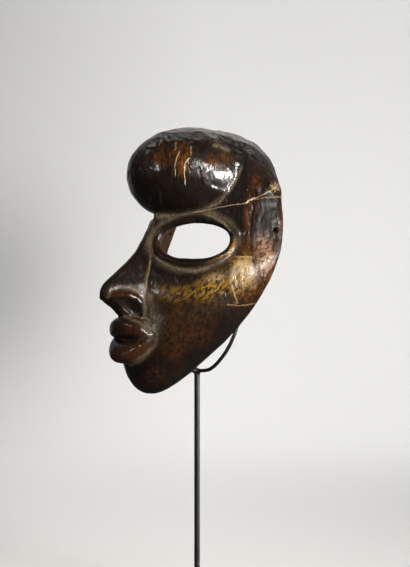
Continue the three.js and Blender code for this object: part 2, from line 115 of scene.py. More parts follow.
# Eye openings
EYE_MIDDLE = (36.5, 60.5, 38.6)
EYE_HALF = (31.8, 16.3)
EYE_TURN = math.radians(43.6)
EYE_LEAN = 0.12
# Raised ring and groove round an eye: height, distance from the opening, width
RING = (2.4, 4.2, 2.4)
GROOVE = (2.3, 10.5, 4.0)

# Cord hole near the edge
HOLE_LEVEL = 48.6
HOLE_DEPTH = 7.5
HOLE_RADIUS = 1.5

# Stand
BASE_SIDE = 140.0
BASE_THICKNESS = 10.0
BASE_CHAMFER = 1.2
ROD_RADIUS = 2.6
ROD_TOP = 215.6
ARM_RADIUS = 1.7
REST_REACH = 11.6
ARM_PATH = [
    (0, 0, 0), (6, 0.1, 0), (12, 0.3, 0.4), (18, 0.7, 1.6), (23.5, 1.4, 4.4), (28, 2.4, 8.2),
    (32.5, 3.8, 13), (36.6, 5.6, 18.6), (40, 7.7, 25.4), (42.4, 10.2, 33.4), (43.2, 11.9, 38.6),
    (43.7, 13.1, 43.2), (43.9, 12.8, 46.8), (43.9, 10.6, 49.6), (43.9, 6.6, 50.6),
    (43.9, 1.6, 50.6), (43.9, -3.2, 50.6),
]

# Camera of the picture
VIEW_AZIMUTH = math.radians(52)
VIEW_DISTANCE = 1600.0
VIEW_AIM = (0.0, 9.5, 297.0)
PICTURE = (410, 567)
PIXEL = 0.94

# Zones of the surface, by their place in the picture in pixels: middle, half sizes, turn, amount
ZONES = {
    "gold": [
        (186, 292, 34, 7, 3, 0.62), (214, 286, 22, 13, -25, 1), (240, 280, 16, 15, -20, 1),
        (240, 261, 13, 8, -30, 0.9), (231, 250, 3.5, 8, 25, 1), (172, 297, 22, 6, 10, 0.42),
        (219.5, 256.5, 11, 2.2, -28, 0.8), (196, 312, 30, 12, -10, 0.14), (172, 334, 20, 14, -20, 0.1),
        (233, 246, 3, 9, 20, 0.9),
    ],
    "amber": [
        (163, 157, 17, 11, -20, 0.6), (181, 160, 9, 16, 5, 0.85), (214, 163, 12, 7, 20, 0.48),
        (226, 157, 8, 5, 30, 0.4), (247, 232, 4, 34, 2, 0.9), (266, 262, 14, 25, -8, 0.9),
        (244, 247, 6, 10, 0, 0.8), (204, 306, 26, 7, -6, 0.15), (190, 322, 16, 12, -20, 0.1),
        (261, 290, 9, 10, -40, 0.5),
    ],
    "red": [
        (255, 186, 6, 18, 0, 0.7), (254, 206, 8, 10, 0, 0.6), (282, 225, 4, 36, 2, 0.9),
        (197, 328, 20, 16, -25, 0.5), (172, 318, 12, 16, 0, 0.6), (174, 350, 12, 12, -20, 0.45),
        (246, 300, 12, 12, -30, 0.5), (180, 300, 20, 7, 5, 0.4), (152, 241, 6, 12, 0, 0.6),
        (150, 378, 24, 10, -20, 0.28), (120, 262, 12, 14, 30, 0.12),
    ],
    "ruddy": [(131, 330, 22, 8, 12, 0.7), (130, 352, 24, 9, -16, 0.8), (124, 294, 20, 5, 6, 0.5)],
    "sheen": [(244, 272, 13, 14, -20, 1), (263, 250, 11, 19, -8, 0.9), (226, 264, 12, 4, -28, 0.3)],
    "matte": [
        (132, 289, 16, 6, 5, 1), (283, 225, 5, 38, 2, 0.9), (215, 135, 45, 8, 12, 0.45),
        (266, 208, 20, 34, 0, 0.95), (158, 322, 7, 13, 0, 0.6), (194, 164, 11, 13, 0, 0.7),
        (211, 158, 14, 8, 15, 0.6), (216, 287, 24, 14, -10, 1), (275, 262, 11, 15, 0, 0.9),
        (266, 168, 16, 16, 45, 0.8), (252, 268, 24, 26, -20, 0.75), (156, 280, 9, 10, 0, 0.5),
    ],
    "worn": [(267, 221, 9, 20, 0, 1), (263, 205, 12, 9, -10, 0.7), (280, 250, 4, 24, 6, 0.7)],
    # Pale and bleached: partly paler worn wood, partly painted highlight on the cheek and on the worn strip
    "pale": [(242, 267, 10, 7, -35, 0.75), (216, 277, 12, 5, -14, 0.35)],
    "bleached": [(264, 251, 9, 15, -8, 0.9)],
    "shiny": [
        (221, 178, 15, 12, 10, 1), (160, 293, 16, 3.5, 8, 1), (152, 334, 5, 9, 0, 0.7),
        (158, 167, 7, 5, 0, 0.6),
    ],
    # Soot: darker wood, and painted shade under the forehead ball, in the groove beside the eye, on the
    # right of the crown, along the parting of the lips, under the lower lip and along the jaw
    "soot": [
        (170, 196, 44, 16, 0, 1), (246, 222, 5, 30, 0, 0.7), (243, 193, 14, 16, -20, 0.6),
        (186, 371, 44, 15, -32, 0.4), (226, 334, 34, 12, -48, 0.5), (150, 384, 20, 10, 0, 0.3),
        (126, 260, 18, 14, -40, 0.95), (250, 158, 24, 17, 40, 0.9), (204, 275, 40, 4, -10, 0.7),
        (200, 318, 38, 17, -14, 0.82), (168, 160, 40, 22, -10, 0.25), (237.5, 236, 4, 20, 0, 0.95),
        (115, 325, 8, 9, 0, 0.65), (140, 338, 14, 2.5, -4, 0.5), (113, 356, 7, 6, 0, 0.4),
    ],
}
# Front edge of the worn strip along the long crack: picture row, column
STRIP_EDGE = [
    (206, 254), (219, 250.8), (232, 250), (245, 251), (258, 252.8), (268, 254), (276, 259), (284, 265),
]
# A spot with little dust beside the eye and a dusty one beside the mouth: middle, half sizes
CLEAN_SPOT = ((240, 234), (8, 24))
DUSTY_SPOT = ((154, 320), (7, 20))
# Dust along creases, in pixels: line, width, amount
DUST_LINES = [
    ([(241.9, 167), (238.8, 173.6), (235.2, 181), (230.3, 189.4), (225.5, 194.3), (219.4, 202.8),
      (208.4, 207.5)], (0.9, 1.3, 1.4, 1.1, 0.9, 1.4, 1.8), 0.85),
    ([(208, 208), (196, 212), (178, 215), (158, 216)], (2.6, 2.0, 2.2, 3.0), 0.75),
    ([(154, 219), (151, 237), (150, 262), (146, 281), (145, 300), (146, 325)],
     (1.0, 0.8, 0.9, 1.4, 2.0, 2.4), 0.66),
    ([(150, 296), (151, 312), (149, 326), (157, 334), (156, 344), (148, 353), (136, 362), (128, 366)],
     (3.4, 3.4, 2.6, 2, 2, 2.2, 2.4, 1.6), 0.75),
    ([(109, 293), (113, 288.5), (120, 286.3), (131, 287.3), (139, 291.5), (144, 297)], 1.1, 0.85),
    ([(107, 297.5), (110, 296)], 0.8, 0.6),
    ([(124, 316), (131, 319), (139, 322), (146, 328)], 1.6, 0.6),
    ([(119, 340), (128, 339.5), (138, 338), (147, 336.5)], 0.8, 0.5),
    ([(157, 258), (166, 264), (180, 269.5), (196, 271), (208, 268)], 2.2, 0.85),
    ([(204, 214), (214, 217), (224, 223), (230, 231)], 1.3, 0.85),
    ([(214.5, 145.6), (219.4, 145.8), (227.9, 150.5)], 1.7, 0.6),
]
# Repair line with pale filler, scratches and cracks, in picture pixels: line, width, amount
FILLER = [
    ([(195, 212.4), (207, 210), (231.5, 204.9), (244.9, 203.5)], 0.5, 0.42),
    ([(244.9, 203.5), (247.4, 202.6), (249.8, 199.8), (255, 198.3)], 0.8, 0.85),
    ([(255, 198.2), (263.2, 194.5), (275.4, 187.8)], 0.45, 0.45),
    ([(179.2, 152.5), (176.3, 159.2), (174.6, 166.2), (175.6, 174.6)], 0.42, 0.75),
    ([(188.5, 159), (185.2, 162.7), (184.1, 168.5), (185.2, 183.4)], 0.44, 0.85),
]
SCRATCHES = [
    ([(270.8, 185.8), (274.4, 187.6), (278, 189.6)], 0.8, 0.5),
    ([(274.8, 183), (274.3, 187.4), (274.6, 191.5)], 0.8, 0.45),
    ([(271.5, 190.4), (274.4, 187.4), (277.8, 184.4)], 0.8, 0.45),
    ([(256, 199), (266, 197.6), (281, 196.6)], 0.7, 0.3),
    ([(231, 285), (233.2, 290.5), (235.4, 298), (238, 303.5)], 0.8, 0.42),
    ([(228, 304.5), (238, 305.6), (247, 304.8), (255, 303.4)], 0.7, 0.36),
    ([(175.9, 143.5), (175.2, 149.5)], 0.8, 0.4),
    ([(191.3, 147), (190.7, 154)], 0.8, 0.4),
    ([(150.5, 262), (149, 272), (146.6, 281), (145.6, 291)], 0.6, 0.36),
    ([(236, 256.6), (246, 257), (252.5, 257)], 0.8, 0.6),
    ([(150, 197), (150.4, 207)], 0.8, 0.1), ([(160, 192), (161.5, 204)], 0.8, 0.1),
]
CRACKS = [
    ([(254, 206), (250.8, 219), (250, 232), (251, 245), (252.8, 258), (254, 268), (259, 276), (265, 284)],
     0.7, 0.85),
    ([(203, 172), (206, 181), (210, 187)], 0.6, 0.7), ([(276, 259), (279, 264)], 1.0, 1.0),
    ([(193.1, 149.5), (200, 150.6), (206, 146), (213, 139)], 0.8, 0.8),
    ([(214, 137), (219, 143), (224, 147)], 0.6, 0.7), ([(228, 160), (234, 165), (240, 166)], 0.6, 0.5),
    ([(151.5, 330), (155, 335), (156, 340)], 0.5, 0.6), ([(199, 168), (200.5, 178), (202, 186)], 0.6, 0.7),
    ([(229, 298), (232, 304), (236, 309)], 0.6, 0.4), ([(261, 240), (259, 252), (262, 266)], 0.5, 0.4),
]
# Small steps cut at the crown and forehead, in pixels: line, width, amount
SCARPS = [
    ([(178, 139), (186, 142), (192, 142), (196, 147)], 5, 0.5),
    ([(193, 150), (200, 151), (206, 146), (213, 138)], 6, 0.8),
    ([(214, 137), (221, 143), (231, 149), (239, 152)], 5, 0.6),
    ([(239, 152), (250, 158), (258, 166)], 5, 0.5),
    ([(204, 170), (207, 182), (214, 187)], 4, 0.5), ([(214, 187), (226, 190), (231, 184)], 4, 0.5),
    ([(151, 165), (157, 169), (163, 167)], 3.5, 0.45),
]


def curve(rows, column):
    """Smooth curve through one column of the rows, by level."""
    xs = np.array([row[0] for row in rows], float)
    ys = np.array([row[column] for row in rows], float)
    step = np.diff(xs)
    fall = np.diff(ys) / step
    slope = np.empty(len(xs))
    slope[0], slope[-1] = fall[0], fall[-1]
    slope[1:-1] = (fall[:-1] * step[1:] + fall[1:] * step[:-1]) / (step[:-1] + step[1:])

    def value(level):
        x = np.clip(level, xs[0], xs[-1])
        i = np.clip(np.searchsorted(xs, x) - 1, 0, len(xs) - 2)
        span = step[i]
        t = (x - xs[i]) / span
        t2 = t * t
        t3 = t2 * t
        return ((2 * t3 - 3 * t2 + 1) * ys[i] + (t3 - 2 * t2 + t) * span * slope[i]
                + (3 * t2 - 2 * t3) * ys[i + 1] + (t3 - t2) * span * slope[i + 1])

    return value


def end_rounding(level):
    s = (level - SHELL_MIDDLE) / SHELL_HALF
    return np.sqrt(np.maximum(1 - s * s, 0.001))


plain = [(r[0], r[1], r[2] / end_rounding(r[0]), r[3] / end_rounding(r[0]), r[4]) for r in SECTIONS]
section_depth, section_width, section_length, section_square = (curve(plain, n) for n in (1, 2, 3, 4))
ridge_depth = curve(RIDGE, 1)
side_fall, ridge_round, nose_width = (curve(NOSE_SIDES, n) for n in (1, 2, 3))


def joined(a, b, k):
    """Two bodies made one, with a soft joint of size k."""
    h = np.clip(0.5 + 0.5 * (b - a) / k, 0, 1)
    return b * (1 - h) + a * h - k * h * (1 - h)


def common(a, b, k):
    """What two bodies share, with a soft edge of size k."""
    return -joined(-a, -b, k)


def gap_to(n, *offsets):
    """About the distance to a body's skin, and to its middle; n is 0 in the middle and 1 on the skin."""
    r = np.sqrt(sum(off * off for off in offsets)) + 1e-6
    return r * (1 - 1 / np.maximum(n, 1e-6)), r


def round_body(dx, dy, dz, half, square):
    n = ((np.abs(dx) / half[0]) ** square + (np.abs(dy) / half[1]) ** square
         + (np.abs(dz) / half[2]) ** square) ** (1 / square)
    return gap_to(n, dx, dy, dz)[0]


def face_egg(x, depth, level, inset):
    half = SHELL_HALF - inset
    stretched = SHELL_MIDDLE + (level - SHELL_MIDDLE) * SHELL_HALF / half
    e = end_rounding(stretched)
    width = np.maximum(section_width(stretched) * e - inset, 2)
    length = np.maximum(section_length(stretched) * e - inset, 2)
    square = section_square(stretched)
    off = depth - section_depth(level)
    n = ((np.abs(x) / width) ** square + (np.abs(off) / length) ** square) ** (1 / square)
    side, r = gap_to(n, x, off)
    near_top = np.clip((level - CROWN_START) / (SHELL_TOP - CROWN_START), 0, 1)
    side = side + CROWN_SOFTENING * near_top * np.exp(-((r / CROWN_REACH) ** 2))
    return np.maximum(side, np.abs(level - SHELL_MIDDLE) - (half - 0.4 * inset))


def ball(x, y, level, inset):
    half = [size - inset for size in BALL_HALF]
    return round_body(x, y - BALL_BACK, level - BALL_LEVEL, half, BALL_SQUARE)


def nose(x, depth, level):
    ax = np.abs(x)
    fall = side_fall(level)
    rounding = ridge_round(level)
    front = ridge_depth(level) - fall * (np.sqrt(ax * ax + rounding * rounding) - rounding)
    f = (depth - front) / np.sqrt(1 + fall * fall * 0.6)
    under = NOSE_UNDER[0] + NOSE_UNDER[1] * (depth - 96) - level
    f = common(f, under / math.sqrt(1 + NOSE_UNDER[1] ** 2), 3)
    f = common(f, level - NOSE_TOP, 4)
    f = common(f, ax - nose_width(level), 4)
    return common(f, 60 - depth, 4)


def nostril_part(x, depth, level, part, square):
    middle, half = part
    tilted = level - NOSTRIL_TILT * (depth - middle[1])
    return round_body(np.abs(x) - middle[0], depth - middle[1], tilted - middle[2], half, square)


def lip(x, depth, level, part):
    side, height, reach, middle, width, lean = part
    across = np.minimum(np.abs(x) / width, 0.97)
    line = PARTING[0] + (PARTING[1] - PARTING[0]) * across ** PARTING[2]
    high = level - line - side * (height * np.sqrt(1 - across * across) - LIP_OVERLAP)
    off = depth - middle - lean * high
    section = ((np.abs(off) / (reach - middle)) ** LIP_SQUARE
               + (np.abs(high) / height) ** LIP_SQUARE) ** (1 / LIP_SQUARE)
    return gap_to(np.sqrt((x / width) ** 2 + section ** 2), x, off, high)[0]


def wing(x, depth, level):
    ax = np.abs(x)
    best = np.full(np.shape(x), 1e3)
    for (xa, da, la, ra), (xb, db, lb, rb) in zip(WING, WING[1:]):
        dx, dd, dl = xb - xa, db - da, lb - la
        size = dx * dx + dd * dd + dl * dl
        t = np.clip(((ax - xa) * dx + (depth - da) * dd + (level - la) * dl) / size, 0, 1)
        gap = np.sqrt((ax - xa - t * dx) ** 2 + (depth - da - t * dd) ** 2 + (level - la - t * dl) ** 2)
        best = np.minimum(best, gap - ra - (rb - ra) * t)
    return best


def eye(x, depth, level):
    """Distance to the edge of the eye opening, and how far out along its axis."""
    ax = np.abs(x) - EYE_MIDDLE[0]
    dd = depth - EYE_MIDDLE[1]
    up = level - EYE_MIDDLE[2]
    across = ax * math.sin(EYE_TURN) - dd * math.cos(EYE_TURN) + EYE_LEAN * up
    out = ax * math.cos(EYE_TURN) + dd * math.sin(EYE_TURN)
    n = ((np.abs(across) / EYE_HALF[0]) ** 2.15 + (np.abs(up) / EYE_HALF[1]) ** 2.15) ** (1 / 2.15)
    return gap_to(n, across, up)[0], out


def band(edge, height, away, width):
    """Soft ridge at some distance from the eye opening."""
    return height * np.exp(-(((edge - away) / width) ** 2))


def place(x, y, z):
    """Depth in front of the leaning plane, and level."""
    level = z - FACE_ZERO
    return PLANE_BACK + PLANE_LEAN * (level - PLANE_LEVEL) - y, level


def outside(x, y, z):
    """The outer skin, as if the mask were solid."""
    depth, level = place(x, y, z)
    rise = np.clip((level - 100) / 35, 0, 1)
    blend = BLEND_LOW + (BLEND_HIGH - BLEND_LOW) * rise * rise * (3 - 2 * rise)
    f = face_egg(x, depth, level, 0)
    blend = blend + BLEND_MIDDLE * np.exp(-((x / 15) ** 2)) * (1 - rise)
    f = joined(f, ball(x, y, level, 0), blend)
    f = joined(f, nose(x, depth, level), 4)
    f = joined(f, wing(x, depth, level), 1.5)
    f = common(f, -nostril_part(x, depth, level, NOSTRIL, 2), 1.5)
    lips = joined(lip(x, depth, level, UPPER_LIP), lip(x, depth, level, LOWER_LIP), 0.4)
    f = joined(f, joined(lips, lip(x, depth, level, MOUTH), 1.5), 2.5)
    edge, out = eye(x, depth, level)
    fade = np.clip((np.abs(x) - 4) / 8, 0, 1) / (1 + np.exp(-(out + 22) / 4))
    return f - fade * (band(edge, *RING) - band(edge, *GROOVE))


def inside(x, y, z):
    """The hollow behind the face."""
    depth, level = place(x, y, z)
    return joined(face_egg(x, depth, level, WALL), ball(x, y, level, WALL + 1), 6)


def rim(y, z):
    level = z - FACE_ZERO
    lean = math.sqrt(1 + RIM_LEAN ** 2)
    return (y - PLANE_BACK - RIM_LEAN * (level - PLANE_LEVEL)) / lean


def mask_field(x, y, z):
    depth, level = place(x, y, z)
    f = common(outside(x, y, z), rim(y, z), RIM_ROUND)
    f = common(f, -inside(x, y, z), INNER_ROUND)
    edge, out = eye(x, depth, level)
    f = common(f, -np.maximum(edge, -(out + 30)), EYE_ROUND)
    hole = np.sqrt((depth - HOLE_DEPTH) ** 2 + (level - HOLE_LEVEL) ** 2) - HOLE_RADIUS
    return common(f, -np.maximum(hole, 70 - np.abs(x)), 0.8)


def grid(*parts):
    lines = [parts[0][0]]
    for (start, step), (end, _) in zip(parts, parts[1:]):
        count = max(1, round((end - start) / step))
        lines += [start + (end - start) * (k + 1) / count for k in range(count)]
    return np.array(lines)


def sampled(field, xs, ys, zs, coarse=4, reach=9.0):
    """Field values on the grid, worked out only near the surface."""
    shape = (len(xs), len(ys), len(zs))
    picks = [np.unique(np.r_[np.arange(0, n, coarse), n - 1]) for n in shape]
    gx, gy, gz = np.meshgrid(xs[picks[0]], ys[picks[1]], zs[picks[2]], indexing="ij")
    rough = field(gx, gy, gz)
    owner = [np.searchsorted(p, np.arange(n), side="right") - 1 for p, n in zip(picks, shape)]
    wide = np.abs(rough) < reach
    for axis in range(3):
        wide = wide | np.roll(wide, 1, axis) | np.roll(wide, -1, axis)
    index = np.ix_(*owner)
    values = np.where(rough < 0, -reach, reach)[index].astype(float)
    todo = wide[index]
    i, j, k = np.nonzero(todo)
    out = np.empty(len(i))
    for start in range(0, len(i), 400000):
        part = slice(start, start + 400000)
        out[part] = field(xs[i[part]], ys[j[part]], zs[k[part]])
    values[i, j, k] = out
    return values


def skin(values, xs, ys, zs):
    """One point in each crossed cell and one quad for each crossed edge."""
    full = values < 0
    nx, ny, nz = values.shape
    cells = np.zeros((nx - 1, ny - 1, nz - 1), int)
    offsets = [(a & 1, (a >> 1) & 1, (a >> 2) & 1) for a in range(8)]
    for di, dj, dk in offsets:
        cells += full[di:nx - 1 + di, dj:ny - 1 + dj, dk:nz - 1 + dk]
    i, j, k = np.nonzero((cells > 0) & (cells < 8))
    name = np.full(cells.shape, -1)
    name[i, j, k] = np.arange(len(i))
    total = np.zeros((len(i), 3))
    count = np.zeros(len(i))
    for a, (ai, aj, ak) in enumerate(offsets):
        for axis in range(3):
            if a & (1 << axis):
                continue
            bi, bj, bk = offsets[a | (1 << axis)]
            va = values[i + ai, j + aj, k + ak]
            vb = values[i + bi, j + bj, k + bk]
            hit = (va < 0) != (vb < 0)
            t = va[hit] / (va[hit] - vb[hit])
            one = np.c_[xs[i + ai], ys[j + aj], zs[k + ak]][hit]
            two = np.c_[xs[i + bi], ys[j + bj], zs[k + bk]][hit]
            total[hit] += one + (two - one) * t[:, None]
            count[hit] += 1
    points = total / count[:, None]
    quads = []
    for axis in range(3):
        one, two = (axis + 1) % 3, (axis + 2) % 3
        low = [slice(1, -1)] * 3
        high = list(low)
        low[axis] = slice(0, -1)
        high[axis] = slice(1, None)
        a = full[tuple(low)]
        b = full[tuple(high)]
        crossed = np.array(np.nonzero(a != b))
        here = a[tuple(crossed)]
        crossed[one] += 1
        crossed[two] += 1
        ring = []
        for p, q in ((-1, -1), (0, -1), (0, 0), (-1, 0)):
            spot = crossed.copy()
            spot[one] += p
            spot[two] += q
            ring.append(name[tuple(spot)])
        quad = np.stack(ring, 1)
        quad[~here] = quad[~here][:, ::-1]
        quads.append(quad)
    return points, np.concatenate(quads)


def slope(field, p, limit, h=0.35):
    """Slope of the field, its size, and the gap to the skin within a limit."""
    g = np.empty_like(p)
    for axis in range(3):
        d = np.zeros(3)
        d[axis] = h
        g[:, axis] = (field(*(p + d).T) - field(*(p - d).T)) / (2 * h)
    size = np.linalg.norm(g, axis=1)[:, None] + 1e-9
    return g, size, np.clip(field(*p.T)[:, None] / size, -limit, limit)


class Links:
    """Which points of the mesh are neighbours."""

    def __init__(self, quads, count):
        pairs = np.concatenate([quads[:, [n, (n + 1) % 4]] for n in range(4)])
        self.one, self.two = np.unique(np.sort(pairs, 1), axis=0).T
        self.count = count
        self.size = np.bincount(self.one, minlength=count) + np.bincount(self.two, minlength=count)

    def mean(self, value):
        value = value.reshape(self.count, -1)
        out = np.empty_like(value)
        for n in range(value.shape[1]):
            v = value[:, n]
            out[:, n] = (np.bincount(self.one, v[self.two], self.count)
                         + np.bincount(self.two, v[self.one], self.count)) / self.size
        return out.squeeze()


def settled(points, links, field, passes=5, limit=0.6):
    """The points evened out on the field's skin, and their normals."""
    for _ in range(passes):
        g, size, gap = slope(field, points, limit)
        normal = g / size
        pull = links.mean(points) - points
        pull -= (pull * normal).sum(1)[:, None] * normal
        points = points + 0.5 * pull - gap * normal
    g, size, gap = slope(field, points, limit)
    return points - gap * g / size, g / size


def lattice(i, j, k, seed):
    """A fixed value between 0 and 1 for each point of a grid."""
    n = (i * 374761393 + j * 668265263 + k * 2147483647 + seed * 1274126177) & 0xFFFFFFFF
    n = ((n ^ (n >> 13)) * 1274126177) & 0xFFFFFFFF
    n ^= n >> 16
    return (n & 0xFFFFFF) / float(0x1000000)


def noise(p, size, seed):
    """Smooth values between -1 and 1 with lumps about as large as size."""
    q = p / np.asarray(size)
    base = np.floor(q).astype(np.int64)
    t = q - base
    t = t * t * t * (t * (t * 6 - 15) + 10)
    total = np.zeros(len(p))
    for step in np.ndindex(2, 2, 2):
        corner = step[::-1]
        share = np.where(corner, t, 1 - t)
        total += share[:, 0] * share[:, 1] * share[:, 2] * lattice(*(base + corner).T, seed)
    return 2 * total - 1


# Where a point of the mask shows in the picture, in pixels
back = np.array([math.sin(VIEW_AZIMUTH), -math.cos(VIEW_AZIMUTH), 0.0])
right = np.array([math.cos(VIEW_AZIMUTH), math.sin(VIEW_AZIMUTH), 0.0])
eye_point = np.array(VIEW_AIM) + VIEW_DISTANCE * back


def in_picture(p):
    d = p - eye_point
    far = -(d @ back)
    k = VIEW_DISTANCE / PIXEL / far
    return np.c_[PICTURE[0] / 2 + (d @ right) * k, PICTURE[1] / 2 - d[:, 2] * k]


def from_line(p, a, b):
    """Each point's place along the line from a to b, from 0 to 1, and its offset from there."""
    along = b - a
    t = np.clip(((p - a) @ along) / (along @ along), 0, 1)
    return t, p - a - t[..., None] * along


def stroke(uv, points, widths):
    """1 on a line through the points, falling to 0 beside it, with a width at each point."""
    best = np.zeros(len(uv))
    pts = np.array(points, float)
    wide = np.broadcast_to(np.array(widths, float), len(pts))
    for a, b, wa, wb in zip(pts, pts[1:], wide, wide[1:]):
        t, off = from_line(uv, a, b)
        width = wa + (wb - wa) * t
        best = np.maximum(best, np.exp(-((np.linalg.norm(off, axis=1) / width) ** 2)))
    return best


def scarp(uv, points, width):
    """A small step along the line: up on its left, down on its right, fading away from it."""
    pts = np.array(points, float)
    best = np.full(len(uv), 1e9)
    side = np.zeros(len(uv))
    for a, b in zip(pts, pts[1:]):
        ab = b - a
        _, off = from_line(uv, a, b)
        gap = np.linalg.norm(off, axis=1)
        closer = gap < best
        best = np.where(closer, gap, best)
        across = (ab[0] * off[:, 1] - ab[1] * off[:, 0]) / np.linalg.norm(ab)
        side = np.where(closer, np.tanh(across / 1.6), side)
    return side * np.exp(-((best / width) ** 2))


def blot(uv, middle, half, turn=0.0, soft=1.0):
    """1 in the middle of an ellipse, falling to about 0.37 at its half sizes."""
    d = uv - np.array(middle, float)
    c, s = math.cos(math.radians(turn)), math.sin(math.radians(turn))
    u = (c * d[:, 0] + s * d[:, 1]) / half[0]
    v = (-s * d[:, 0] + c * d[:, 1]) / half[1]
    return np.exp(-((u * u + v * v) ** soft))


def blots(uv, rows):
    total = np.zeros(len(uv))
    for x, y, wide, tall, turn, amount in rows:
        total = np.maximum(total, amount * blot(uv, (x, y), (wide, tall), turn, 1.6))
    return total


def facets(p, size, seed):
    """Shallow cuts of an adze: 0 in the middle of each and up to 1 on the edges."""
    q = p / np.asarray(size)
    base = np.floor(q).astype(np.int64)
    best = np.full(len(p), 9.0)
    for step in np.ndindex(3, 3, 3):
        cell = (base + step - 1).T
        gaps = [cell[n] + lattice(*cell, seed + n) - q[:, n] for n in range(3)]
        best = np.minimum(best, sum(gap ** 2 for gap in gaps))
    return np.minimum(best, 1.0)


def added(name, data):
    """A new object in the scene with this mesh, light or camera."""
    obj = bpy.data.objects.new(name, data)
    bpy.context.scene.collection.objects.link(obj)
    return obj


def mesh_object(name, points, faces):
    mesh = bpy.data.meshes.new(name)
    mesh.from_pydata((np.asarray(points) * 0.001).tolist(), [], [list(map(int, f)) for f in faces])
    mesh.validate()
    mesh.polygons.foreach_set("use_smooth", [True] * len(mesh.polygons))
    return added(name, mesh)


# Mask
FINE = 1.4
FAR_STEP = 2.8
# Surface with x below this is the far side, which the picture doesn't show
FAR_SIDE = -4
# Lines of the sampling grid, coarser on the far side
GRID = (
    grid((-93, FAR_STEP), (-6, FINE), (93, 0)), grid((-112, FINE), (62, 0)), grid((192, FINE), (444, 0)),
)
# Rounds of smoothing that show where the skin is hollow
SMOOTHING = 18


class MaskSkin:
    """The mask's skin, and where each of its points shows in the picture."""

    def __init__(self):
        rough, self.quads = skin(sampled(mask_field, *GRID), *GRID)
        self.links = Links(self.quads, len(rough))
        self.points, self.normals = settled(rough, self.links, mask_field)
        turned = np.where(self.points[:, 0] < 0, -1, 1)
        self.uv = in_picture(self.points * np.c_[turned, np.ones((len(turned), 2))])
        facing = self.normals.copy()
        facing[:, 0] *= turned
        facing = np.clip(facing @ back * 3, 0, 1)
        self.outer = np.clip(1.6 - np.abs(outside(*self.points.T)), 0, 1)
        self.both = self.outer * facing
        self.near = self.both * (self.points[:, 0] > FAR_SIDE)
        self.far_side = np.where(self.points[:, 0] < FAR_SIDE, 0.6, 1.0)
        self.depth, self.level = place(*self.points.T)
        wide = self.points
        for _ in range(SMOOTHING):
            wide = self.links.mean(wide)
        self.hollows = ((wide - self.points) * self.normals).sum(1)

    def drawn(self, rows):
        """Lines as soft strokes on the near side."""
        total = np.zeros(len(self.points))
        for line, width, amount in rows:
            total = np.maximum(total, amount * stroke(self.uv, line, max(width, 0.8)) * self.near)
        return total

    def ruled(self, rows):
        """Signed gap to the nearest line, in its widths, and how strongly the line shows."""
        uv = self.uv
        least = np.full(len(uv), 1e9)
        gap = np.full(len(uv), 9.0)
        shown = np.zeros(len(uv))
        for line, width, amount in rows:
            pts = np.array(line, float)
            last = len(pts) - 2
            for n, (a, b) in enumerate(zip(pts, pts[1:])):
                ab = b - a
                size = np.linalg.norm(ab)
                along = (uv - a) @ ab / size
                beyond = np.maximum(np.maximum(-along, along - size), 0)
                across = (ab[0] * (uv[:, 1] - a[1]) - ab[1] * (uv[:, 0] - a[0])) / size
                free = np.where(along < 0, n == 0, np.where(along > size, n == last, True))
                far = np.where(free, np.abs(across), np.hypot(across, beyond))
                fade = np.exp(-((beyond / 1.2) ** 2)) * np.clip(2.2 - far / 2, 0, 1)
                reach = far + np.where(free, 2 * beyond, 0)
                closer = reach < least
                least = np.where(closer, reach, least)
                gap = np.where(closer, np.sign(across) * far / width, gap)
                shown = np.where(closer, amount * fade, shown)
        return np.clip(gap, -9, 9), shown * self.near

    def zones(self):
        """Zones of colour and shine; two of them end at the front edge of the worn strip. The pale and
        bleached zones are partly paler worn wood and partly painted highlight.
        """
        found = {name: blots(self.uv, rows) * self.both for name, rows in ZONES.items()}
        strip_edge = np.interp(self.uv[:, 1], *zip(*STRIP_EDGE))
        strip = np.clip((self.uv[:, 0] - strip_edge) / 2 + 0.5, 0, 1)
        # Painted highlight on paler wood: the bleached part behind the strip's edge, the pale part in front
        # of it
        found["bleached"] *= strip
        found["pale"] *= 1 - strip
        return {name: value if name == "matte" else value * self.far_side for name, value in found.items()}

    def dust(self):
        """Dust in hollows, in the groove round each eye and along creases."""
        edge, out = eye(self.points[:, 0], self.depth, self.level)
        dust = np.clip((self.hollows - 0.3) / 1.1, 0, 1) * 0.55
        groove = np.exp(-(((edge - GROOVE[1]) / 3.4) ** 2)) * (out > -26)
        dust = np.maximum(dust, 0.8 * groove * np.clip(0.55 + 0.6 * noise(self.points, 14, 5), 0, 1))
        dust *= 1 - 0.75 * blot(self.uv, *CLEAN_SPOT, 0, 1.6)
        dust = np.maximum(dust, 0.4 * blot(self.uv, *DUSTY_SPOT, 0, 1.4))
        for line, width, amount in DUST_LINES:
            dust = np.maximum(dust, amount * stroke(self.uv, line, width) * self.both)
        return np.maximum(dust * (self.outer * self.far_side), 0.0)

    def carving(self):
        """Height of adze cuts, unevenness, lines and steps over the smooth skin."""
        points, outer = self.points, self.outer
        brow = np.clip((self.level - 55) / 25, 0, 1)
        top = np.clip((self.level - 112) / 14, 0, 1)
        height = 0.35 * noise(points, 34, 11) + 0.16 * noise(points, 13, 12)
        height += (0.2 + 0.45 * brow + 0.5 * top) * (facets(points, (13, 13, 9), 21) - 0.35) * outer
        height += 0.12 * noise(points * [1, 1, 0.25], 4.5, 13) * outer
        raised = np.maximum(self.drawn(FILLER), self.drawn(SCRATCHES))
        height += 0.3 * raised - 0.5 * self.drawn(CRACKS) - 0.3 * np.clip(self.hollows, -0.3, 0.6)
        for line, width, amount in SCARPS:
            height += 0.7 * amount * scarp(self.uv, line, width) * self.near
        return height + (1 - outer) * 1.3 * (facets(points, (15, 15, 26), 31) - 0.4)


def held_in(points, node, gap):
    """The points kept inside the CAD piece's box by a small gap."""
    low, high = (1000 * np.array(corner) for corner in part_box(node))
    return np.clip(points, low + gap, high - gap)


def give_layer(piece, name, values):
    layer = piece.data.attributes.new(name, "FLOAT", "POINT")
    layer.data.foreach_set("value", np.asarray(values, np.float32))


